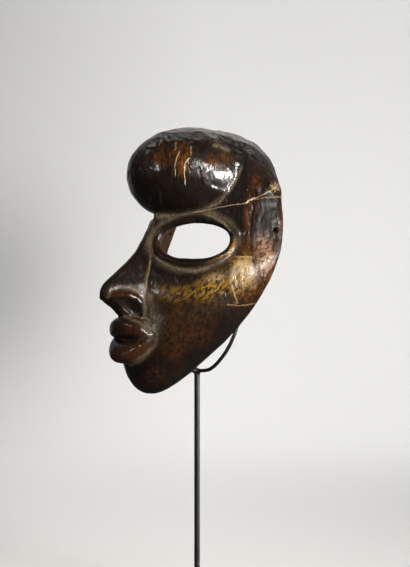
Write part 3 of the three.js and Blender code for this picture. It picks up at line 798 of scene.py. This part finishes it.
face = MaskSkin()
carved = face.points + face.normals * face.carving()[:, None]
mask = mesh_object("carved_mask", held_in(carved, "mask", 0.05), face.quads)
for name, values in face.zones().items():
    give_layer(mask, name, values)
give_layer(mask, "dust", face.dust())
give_layer(mask, "inner", 1 - face.outer)
for name, rows in (("filler", FILLER), ("scratch", SCRATCHES), ("crack", CRACKS)):
    gap, shown = face.ruled(rows)
    give_layer(mask, name + "_gap", gap)
    give_layer(mask, name, shown)


class Look:
    """Small helper that builds a node material."""

    def __init__(self, name):
        self.material = bpy.data.materials.new(name)
        self.material.use_nodes = True
        self.tree = self.material.node_tree
        self.shader = self.tree.nodes["Principled BSDF"]

    def put(self, socket, value):
        if isinstance(value, bpy.types.NodeSocket):
            self.tree.links.new(value, socket)
        elif isinstance(value, (tuple, list)) and len(value) == 3 and socket.type == "RGBA":
            socket.default_value = (*value, 1)
        else:
            socket.default_value = value

    def give(self, socket, value):
        self.put(self.shader.inputs[socket], value)

    def node(self, kind, out=0, **settings):
        node = self.tree.nodes.new(kind)
        for key, value in settings.items():
            if key.startswith("in_"):
                self.put(node.inputs[int(key[3:])], value)
            else:
                setattr(node, key, value)
        return node.outputs[out]

    def layer(self, name):
        return self.node("ShaderNodeAttribute", out=2, attribute_name=name)

    def math(self, kind, a, b=0.0, clamp=False):
        return self.node("ShaderNodeMath", operation=kind, use_clamp=clamp, in_0=a, in_1=b)

    def times(self, a, b, clamp=False):
        return self.math("MULTIPLY", a, b, clamp)

    def plus(self, a, b, clamp=False):
        return self.math("ADD", a, b, clamp)

    def spread(self, value, low, high, to_low=0.0, to_high=1.0):
        return self.node("ShaderNodeMapRange", in_0=value, in_1=low, in_2=high, in_3=to_low, in_4=to_high)

    def mixed(self, amount, a, b):
        return self.node("ShaderNodeMix", out=2, data_type="RGBA", in_0=amount, in_6=a, in_7=b)

    def lumps(self, scale, detail, rough, stretch=(1, 1, 1), twist=0.0, turn=(0, 0, 0)):
        where = self.node("ShaderNodeTexCoord", out=3)
        size = tuple(1 / v for v in stretch)
        where = self.node("ShaderNodeMapping", vector_type="TEXTURE", in_0=where, in_2=turn, in_3=size)
        return self.node("ShaderNodeTexNoise", in_0=where, in_2=scale, in_3=detail, in_4=rough, in_8=twist)

    def marks(self, name, wobble):
        """Thin lines kept on the mesh as a signed gap and a strength."""
        gap = self.math("ABSOLUTE", self.plus(self.layer(name + "_gap"), wobble))
        return self.times(self.spread(gap, 0.4, 1.3, 1.0, 0.0), self.layer(name), True)


def colour(r, g, b):
    return tuple(((v / 255 + 0.055) / 1.055) ** 2.4 if v > 10 else v / 3294 for v in (r, g, b))


# Turn of the strokes in the gold patch, which lean to the right in the picture
STROKE_TURN = (0, math.radians(42), VIEW_AZIMUTH)


class Wood(Look):
    """Dark varnished wood with zones of wear and colour, painted highlights and painted shade in some of
    them, dust in its creases and a few thin lines.
    """

    def __init__(self, name):
        super().__init__(name)
        self.broad = self.lumps(38, 5, 0.6)
        self.dents = self.lumps(150, 3, 0.55)
        self.grain = self.lumps(330, 4, 0.62, stretch=(1, 1, 0.2), twist=0.8)
        self.fine = self.lumps(900, 4, 0.65)
        cross = self.lumps(420, 3, 0.6, stretch=(0.22, 0.22, 1.4), twist=1.6)
        self.spots = self.lumps(240, 4, 0.7, twist=0.6)
        rings = self.lumps(70, 1.5, 0.5, stretch=(0.6, 0.6, 1.6), twist=0.4)
        waves = self.spread(self.math("SINE", self.times(rings, 44)), -1, 1)
        self.waves = self.mixed(0.4, waves, cross)
        strokes = self.lumps(520, 3, 0.6, stretch=(1, 1, 0.3), twist=0.7, turn=STROKE_TURN)
        self.strokes = self.mixed(0.7, self.spots, strokes)

    def patch(self, layer, texture, low, high, share, least=0.1):
        """How strongly a layer shows where a texture breaks it up."""
        amount = self.times(self.layer(layer), self.spread(texture, low, high, least, 1.0))
        return self.times(amount, share, True)

    def over(self, amount, *tone):
        """Lays a colour over what is there."""
        self.base = self.mixed(amount, self.base, colour(*tone))

    def paint(self):
        """The colour, from varnish up to dust and lines, with painted highlights and painted shade in some
        zones; gives back how dusty each place is.
        """
        wobble = self.spread(self.spots, 0.3, 0.7, -0.9, 0.9)
        broken = self.spread(self.fine, 0.36, 0.56, 0.35, 1.0)
        self.base = self.mixed(self.spread(self.grain, 0.35, 0.7), colour(10, 9, 7), colour(31, 20, 12))
        self.over(self.times(self.spread(self.broad, 0.52, 0.74), 0.3), 56, 31, 15)
        # Layer, texture with the values where it starts and is full, share, least, colour
        for layer, texture, low, high, share, least, tone in (
            ("red", self.spots, 0.45, 0.58, 0.9, 0.03, (84, 42, 17)),
            ("ruddy", self.grain, 0.4, 0.65, 0.8, 0.6, (73, 37, 19)),
            ("amber", self.grain, 0.42, 0.64, 0.95, 0.05, (108, 62, 18)),
            ("gold", self.strokes, 0.44, 0.55, 0.92, 0.02, (134, 98, 34)),
            ("worn", self.waves, 0.4, 0.62, 0.9, 0.3, (27, 22, 20)),
            # Pale and bleached: paler worn wood with a painted highlight laid over it
            ("pale", self.strokes, 0.38, 0.48, 0.8, 0.1, (186, 156, 116)),
            ("bleached", self.waves, 0.38, 0.62, 0.75, 0.05, (150, 116, 94)),
            # Soot darkens the wood, and paints shade in creases and under overhangs
            ("soot", self.dents, 0.35, 0.6, 0.75, 0.5, (20, 16, 14)),
        ):
            self.over(self.patch(layer, texture, low, high, share, least), *tone)
        stain = self.mixed(self.spread(self.grain, 0.35, 0.65), colour(46, 29, 19), colour(98, 66, 42))
        bare_wood = self.times(self.layer("inner"), self.spread(self.broad, 0.35, 0.65, 0.35, 0.85))
        self.base = self.mixed(bare_wood, self.base, stain)
        dusty = self.patch("dust", self.fine, 0.36, 0.6, 0.95)
        self.over(dusty, 118, 104, 82)
        filler = self.times(self.marks("filler", wobble), broken)
        scratch = self.times(self.marks("scratch", wobble), broken)
        self.over(scratch, 176, 146, 106)
        self.over(filler, 206, 180, 142)
        self.over(self.marks("crack", wobble), 10, 8, 7)
        self.give("Base Color", self.base)
        return dusty

    def shine(self, dusty):
        """Roughness, and mirroring of the wood itself: less in dust and on worn wood."""
        rough = self.spread(self.broad, 0.3, 0.7, 0.32, 0.46)
        rough = self.mixed(self.layer("sheen"), rough, self.spread(self.fine, 0.3, 0.7, 0.3, 0.46))
        rough = self.plus(rough, self.times(dusty, 0.35))
        rough = self.plus(rough, self.times(self.layer("inner"), 0.25), True)
        self.give("Roughness", rough)
        dull_sheen = self.times(self.layer("worn"), 0.1)
        sheen = self.math("MAXIMUM", self.times(dusty, 0.4), dull_sheen)
        sheen = self.math("MAXIMUM", sheen, self.layer("shiny"))
        broad_sheen = self.times(self.layer("sheen"), 0.8)
        sheen = self.plus(self.spread(sheen, 0.0, 1.0, 0.1, 0.5), broad_sheen)
        self.give("Specular IOR Level", sheen)
        tint = self.mixed(self.layer("sheen"), (1, 1, 1), (1.0, 0.84, 0.62))
        self.give("Specular Tint", tint)

    def varnish(self, dusty):
        """The clear coat, which is missing in dust, on worn wood and inside."""
        bare = self.math("SUBTRACT", 1.0, self.math("MAXIMUM", dusty, self.layer("inner")), True)
        coat = self.plus(0.32, self.times(self.layer("shiny"), 0.68), True)
        for layer in ("worn", "matte"):
            coat = self.times(coat, self.math("SUBTRACT", 1.0, self.layer(layer), True))
        self.give("Coat Weight", self.times(coat, bare))
        self.give("Coat Roughness", self.spread(self.broad, 0.3, 0.7, 0.05, 0.1))
        self.give("Coat IOR", 1.6)

    def unevenness(self):
        """Bumps of grain, soft swells and shallow streaks."""
        grain = self.times(self.grain, 0.22)
        height = self.plus(grain, self.times(self.fine, 0.1))
        swell = self.lumps(120, 1.0, 0.4, stretch=(1, 1, 0.6), twist=0.6)
        height = self.plus(height, self.times(swell, 1.3))
        streak = self.spread(self.lumps(260, 2, 0.5, stretch=(1, 1, 0.28), twist=0.3), 0.56, 0.64)
        height = self.math("SUBTRACT", height, self.times(streak, 0.12))
        bump = self.node("ShaderNodeBump", in_0=0.55, in_1=0.0015, in_3=height)
        for socket in ("Normal", "Coat Normal"):
            self.give(socket, bump)


wood = Wood("mask_wood_look")
dusty = wood.paint()
wood.shine(dusty)
wood.varnish(dusty)
wood.unevenness()
mask.data.materials.append(wood.material)
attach(mask, "root")
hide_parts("mask")

# Stand
ARM = np.array([(-x, y, z) for x, y, z in ARM_PATH[:0:-1]] + ARM_PATH) + [0, 0, ROD_TOP]
BEAD = 3.3
ROD_FOOT = 4.35
SEAT_RADIUS = 2.95


def bar(p, start, end, radius):
    _, off = from_line(p, np.array(start, float), np.array(end, float))
    return np.linalg.norm(off, axis=-1) - radius


def stand_field(x, y, z):
    p = np.stack([x, y, z], -1)
    rod = np.maximum(np.hypot(x, y) - ROD_RADIUS, np.maximum(ROD_FOOT - z, z - ROD_TOP))
    arms = np.full(np.shape(x), 1e3)
    for one, two in zip(ARM, ARM[1:]):
        arms = np.minimum(arms, bar(p, one, two, ARM_RADIUS))
    rest = bar(p, (0, 1, ROD_TOP), (0, -REST_REACH, ROD_TOP), ARM_RADIUS)
    bead = bar(p, (0, 0.6, ROD_TOP - 1.2), (0, -1.4, ROD_TOP - 0.6), BEAD - 0.5)
    return joined(joined(rod, bead, 1.2), joined(arms, rest, 2.2), 1.6)


STAND_STEP = 0.75
ends = zip(*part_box("display_rod"))
axes = [grid((1000 * low - 1.5, STAND_STEP), (1000 * high + 1.5, 0)) for low, high in ends]
points, quads = skin(sampled(stand_field, *axes, coarse=3, reach=5.0), *axes)
links = Links(quads, len(points))
points, normals = settled(points, links, stand_field, limit=0.4)
weld = np.exp(-((np.linalg.norm(points - [0, 0, ROD_TOP - 1], axis=1) / 5) ** 2))
points = points + normals * (0.22 * weld * noise(points, 2.2, 41) + 0.03 * noise(points, 6, 42))[:, None]
rod = mesh_object("steel_rod", held_in(points, "display_rod", 0.01), quads)
give_layer(rod, "weld", weld)


def plate(name):
    """Square plate with eased edges and a round seat for the rod, built of rings."""
    half = BASE_SIDE / 2 - 0.02
    top = BASE_THICKNESS - 0.01
    count = 96
    turn = np.arange(count) * 2 * math.pi / count
    circle = np.c_[np.cos(turn), np.sin(turn)]
    ease = BASE_CHAMFER
    rounded = [(half - ease + ease * math.cos(a), top - ease + ease * math.sin(a))
               for a in np.linspace(0, math.pi / 2, 5)]
    rows = [(20, 0.01, 1), (half - 0.5, 0.01, 1), (half, 0.5, 1)]
    rows += [(reach, height, 1) for reach, height in rounded]
    rows += [(50, top, 1), (28, top, 0.6), (9, top, 0), (SEAT_RADIUS + 0.4, top, 0),
             (SEAT_RADIUS, top - 0.4, 0), (SEAT_RADIUS, 4.05, 0)]
    pts, faces = [], []
    for reach, height, square in rows:
        corner = 2 + 58 * square ** 3
        ring = circle / ((np.abs(circle) ** corner).sum(1) ** (1 / corner))[:, None] * reach
        pts += [(x, y, height) for x, y in ring]
    for m in range(len(rows) - 1):
        for n in range(count):
            a, b = m * count + n, m * count + (n + 1) % count
            faces.append((a, b, b + count, a + count))
    pts += [(0, 0, 0.01), (0, 0, 4.05)]
    low, high = len(pts) - 2, len(pts) - 1
    last = (len(rows) - 1) * count
    for n in range(count):
        faces.append((low, (n + 1) % count, n))
        faces.append((high, last + n, last + (n + 1) % count))
    obj = mesh_object(name, pts, faces)
    obj.data.set_sharp_from_angle(angle=math.radians(35))
    return obj


def steel_look(name, gloss):
    """Black paint on steel: a soft sheen, fine orange peel, a little dust and rubbed spots."""
    look = Look(name)
    broad = look.lumps(16, 4, 0.6)
    peel = look.lumps(700, 2, 0.5)
    specks = look.lumps(1500, 3, 0.7)
    base = look.mixed(broad, colour(17, 17, 18), colour(25, 24, 24))
    base = look.mixed(look.times(look.spread(specks, 0.62, 0.72), 0.5), base, colour(92, 86, 78))
    if name == "rod_paint_look":
        base = look.mixed(look.times(look.layer("weld"), 0.35), base, colour(48, 40, 34))
    look.give("Base Color", base)
    rough = look.spread(look.lumps(60, 4, 0.65), 0.3, 0.7, gloss, gloss + 0.18)
    look.give("Roughness", rough)
    look.give("Specular IOR Level", 0.45)
    bump = look.node("ShaderNodeBump", in_0=0.35, in_1=0.0003, in_3=peel)
    look.give("Normal", bump)
    return look.material


rod.data.materials.append(steel_look("rod_paint_look", 0.34))
base_plate = plate("steel_plate")
base_plate.data.materials.append(steel_look("plate_paint_look", 0.4))
for piece, node, slot in ((rod, "display_rod", "stand_steel"), (base_plate, "base_plate", "base_steel")):
    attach(piece, "root")
    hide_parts(node)


# Stage
def area(name, where, aim, size, power, spread, colour=(1, 1, 1)):
    light = bpy.data.lights.new(name, "AREA")
    light.shape = "RECTANGLE"
    light.size, light.size_y = size
    light.energy = power
    light.color = colour
    light.spread = math.radians(spread)
    obj = added(name, light)
    obj.location = where
    obj.rotation_euler = (Vector(aim) - Vector(where)).to_track_quat("-Z", "Y").to_euler()


def bowl_stage():
    """Pale floor that rises all round in a wide curve to a wall; the wall behind is a mesh of its own."""
    rows = [(0, 0), (0.5, 0), (1.1, 0), (1.75, 0)]
    flat = len(rows) - 1
    rows += [(1.75 + math.sin(a), 1 - math.cos(a)) for a in np.linspace(0.1, math.pi / 2, 14)]
    rows += [(2.75, 3.0)]
    count = 72
    pts, floor, wall = [[0.0, 0.0, 0.0]], [], []
    for r, h in rows[1:]:
        for n in range(count):
            a = 2 * math.pi * n / count
            pts.append([1000 * r * math.cos(a), 1000 * r * math.sin(a), 1000 * h])
    for n in range(count):
        floor.append((0, 1 + n, 1 + (n + 1) % count))
    for m in range(len(rows) - 2):
        for n in range(count):
            a, b = 1 + m * count + n, 1 + m * count + (n + 1) % count
            turn = 2 * math.pi * (n + 0.5) / count
            behind = math.cos(turn) * back[0] + math.sin(turn) * back[1] < -0.8
            (wall if behind and m + 1 >= flat else floor).append((a, a + count, b + count, b))
    return mesh_object("floor_and_front", pts, floor), mesh_object("backdrop", pts, wall)


floor, backdrop = bowl_stage()
# The dark room around the photographer isn't pale, so the varnish doesn't mirror this part of the stage
floor.visible_glossy = False


# Pale paper with painted shade darkening it towards the left: metres across where it is darkest and palest
PAPER_LEFT = -0.7
PAPER_RIGHT = 0.0
# Soft shadow on it: metres across and up of its middle, half sizes, depth
SHADOW_MIDDLE = (-0.5, 0.28)
SHADOW_HALF = (0.2, 0.25)
SHADOW_DEPTH = 0.37


def paper_look():
    """Pale paper with painted shade, a little darker towards the left of the picture, and a painted soft
    shadow.
    """
    look = Look("pale_paper")
    where = look.node("ShaderNodeTexCoord", out=3)
    across = look.node("ShaderNodeVectorMath", out=1, operation="DOT_PRODUCT", in_0=where, in_1=tuple(right))
    # Painted shade: darker towards the left
    shade = look.spread(across, PAPER_LEFT, PAPER_RIGHT, 0.0, 1.0)
    base = look.mixed(look.math("POWER", shade, 0.7), (0.5, 0.495, 0.48), (0.8, 0.795, 0.78))
    side = look.math("DIVIDE", look.math("SUBTRACT", across, SHADOW_MIDDLE[0]), SHADOW_HALF[0])
    up = look.node("ShaderNodeVectorMath", out=1, operation="DOT_PRODUCT", in_0=where, in_1=(0, 0, 1))
    up = look.math("DIVIDE", look.math("SUBTRACT", up, SHADOW_MIDDLE[1]), SHADOW_HALF[1])
    far = look.plus(look.times(side, side), look.times(up, up))
    shadow = look.math("EXPONENT", look.times(far, -1.0))
    shadow = look.times(shadow, SHADOW_DEPTH)
    base = look.mixed(shadow, base, (0, 0, 0))
    look.give("Base Color", base)
    look.give("Roughness", 0.9)
    look.give("Specular IOR Level", 0.2)
    return look.material


paper = paper_look()
for part in (floor, backdrop):
    part.data.materials.append(paper)


def at(side, toward, height):
    """Place seen from the camera: metres to the right, towards the camera and up."""
    return tuple(side * right + toward * back + [0, 0, height])


aim = (0, 0, 0.36)


def lamp(name, azimuth, elevation, distance, size, power, colour=(1, 1, 1), spread=60):
    a, e = math.radians(azimuth), math.radians(elevation)
    spot = at(distance * math.sin(a) * math.cos(e), distance * math.cos(a) * math.cos(e),
              aim[2] + distance * math.sin(e))
    area(name, spot, aim, size, power, spread, colour)


# Lamps: angles about the object from the camera's direction, distance, size, power, colour, spread
lamp("key", 72, 0, 1.6, (0.7, 0.34), 4.2, (1, 0.98, 0.95))
lamp("front", 34, 18, 1.7, (0.42, 0.46), 3.1, (1, 0.97, 0.93), 45)
lamp("crown", 172, 36, 1.9, (0.9, 0.5), 0.28, (1, 0.93, 0.84))
lamp("left", -60, 17, 1.5, (0.2, 0.2), 0.34, (0.98, 0.98, 1))
wall_aim = at(0.2, -2.6, 0.45)
for name, side in (("wall_right", 1), ("wall_left", -1)):
    area(name, at(1.5 * side, -1.2, 2.4), wall_aim, (0.6, 0.6), 15.2, 120)
area("above", at(0, -1.2, 2.3), at(0, -1.25, 0), (0.9, 0.9), 2.6, 85)
area("front_wall", at(0, 1.2, 2.4), at(0, 2.6, 0.7), (0.6, 0.6), 6, 120)
world = bpy.data.worlds.new("studio")
world.use_nodes = True
sky = world.node_tree.nodes["Background"].inputs
sky["Color"].default_value = (0.9, 0.93, 1, 1)
sky["Strength"].default_value = 0.05
bpy.context.scene.world = world

camera = added("camera", bpy.data.cameras.new("camera"))
camera.location = tuple(0.001 * eye_point)
camera.rotation_euler = Vector(-back).to_track_quat("-Z", "Y").to_euler()
camera.data.sensor_width = 36
camera.data.lens = 36 * VIEW_DISTANCE / (PICTURE[1] * PIXEL)
bpy.context.scene.camera = camera
bpy.context.scene.view_settings.view_transform = "Standard"
